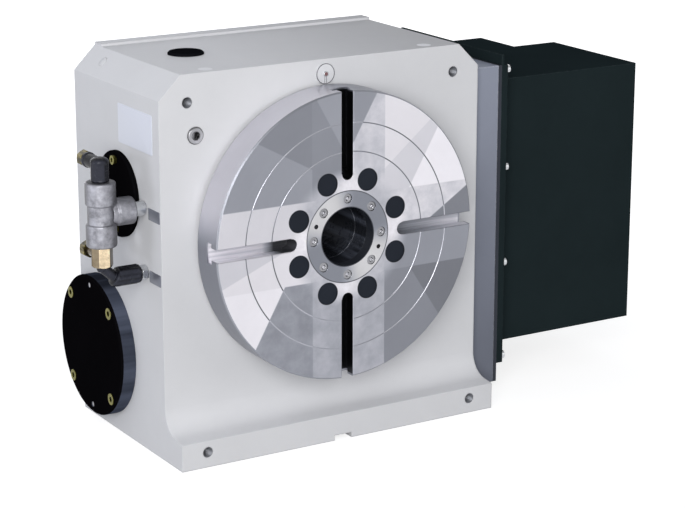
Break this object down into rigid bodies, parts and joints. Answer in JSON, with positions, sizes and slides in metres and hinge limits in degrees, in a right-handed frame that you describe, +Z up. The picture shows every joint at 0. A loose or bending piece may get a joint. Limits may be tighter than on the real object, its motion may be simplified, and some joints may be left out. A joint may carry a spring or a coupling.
{
  "type": "cnc rotary table",
  "caption": "Upright rotary indexing table: slotted round faceplate turned by a worm drive in a cast housing with a foot, air brake fittings and a boxed motor.",
  "frame": {"origin": "centre of the spindle bore in the plane of the table face", "axes": "+X towards the motor, +Y into the housing along the spindle, +Z up"},
  "size_m": [0.7135, 0.33, 0.425],
  "materials": {
    "casting_paint": "satin light grey paint",
    "case_paint": "satin blue-grey paint",
    "black_paint": "satin black paint on sheet steel",
    "cover_black": "gloss black paint",
    "ground_steel": "ground steel",
    "bright_steel": "turned steel",
    "dark_steel": "black oxide steel",
    "white_zinc": "bright zinc plate",
    "yellow_zinc": "yellow passivated zinc plate",
    "cast_grey": "galvanised casting",
    "brass": "bright brass",
    "dark_brass": "dull olive brass",
    "black_plastic": "moulded black plastic",
    "seal_rubber": "moulded seal",
    "wheel_bronze": "cut bronze",
    "motor_paint": "matt black paint",
    "motor_alloy": "machined alloy"
  },
  "bodies": {
    "base": {"housing": "casting_paint", "rear_cover": "casting_paint", "rear_cover_screws": "white_zinc", "top_plug": "black_plastic", "lifting_plugs": "casting_paint", "oil_plug": "white_zinc", "zero_mark_disc": "bright_steel", "zero_mark_screw": "white_zinc", "worm_end_cover": "cover_black", "worm_cover_screws": "yellow_zinc", "worm_cover_jacks": "white_zinc", "brake_cover": "cover_black", "brake_cover_screws": "yellow_zinc", "tee_fitting": "cast_grey", "upper_nipple": "white_zinc", "lower_nipple": "white_zinc", "brass_connector": "brass", "side_tube_nut": "dark_brass", "lower_elbow": "black_plastic", "gear_case": "case_paint", "gear_case_screws": "white_zinc", "worm_seal": "seal_rubber", "worm_bearings": "bright_steel", "motor_plate": "dark_steel", "motor_cover": "black_paint", "cover_screws": "white_zinc", "motor_flange": "motor_alloy", "motor_body": "motor_paint", "encoder_cap": "motor_paint", "motor_screws": "dark_steel", "cable_gland": "black_plastic", "spindle_seal": "seal_rubber", "front_bearing_outer": "bright_steel", "rear_bearing_outer": "bright_steel", "brake_ring": "bright_steel"},
    "table": {"faceplate": "ground_steel", "centre_ring": "bright_steel", "ring_screws": "white_zinc", "table_bolts": "dark_steel", "bolt_caps": "dark_steel", "spindle": "bright_steel", "front_bearing_inner": "bright_steel", "rear_bearing_inner": "bright_steel", "front_spacer": "bright_steel", "brake_disc": "bright_steel", "wheel_hub": "bright_steel", "worm_wheel": "wheel_bronze", "wheel_bolts": "dark_steel", "spindle_nut": "dark_steel"},
    "worm": {"worm_shaft": "bright_steel", "worm_nut": "dark_steel", "driven_gear": "bright_steel", "gear_nut": "dark_steel"},
    "motor_rotor": {"motor_shaft": "bright_steel", "pinion": "bright_steel"},
    "brake": {"brake_piston": "bright_steel"},
    "air_elbow": {"upper_elbow": "black_plastic", "upper_tube_nut": "dark_brass"}
  },
  "joints": [
    {"name": "table_spin", "type": "hinge", "parent": "base", "child": "table", "pos_m": [0, 0, 0], "axis": [0, 1, 0], "continuous": true},
    {"name": "worm_spin", "type": "hinge", "parent": "base", "child": "worm", "pos_m": [0, 0.197, -0.141], "axis": [1, 0, 0], "continuous": true},
    {"name": "motor_spin", "type": "hinge", "parent": "base", "child": "motor_rotor", "pos_m": [0, 0.1677, -0.0559], "axis": [1, 0, 0], "continuous": true},
    {"name": "brake_apply", "type": "slide", "parent": "base", "child": "brake", "axis": [0, 1, 0], "range_m": [0, 0.0005]},
    {"name": "elbow_swivel", "type": "hinge", "parent": "base", "child": "air_elbow", "pos_m": [-0.251, 0.086, 0.093], "axis": [0, 0, 1], "continuous": true}
  ],
  "couplings": [
    {"joint": "worm_spin", "follows": "table_spin", "ratio": 90},
    {"joint": "motor_spin", "follows": "table_spin", "ratio": -180}
  ]
}
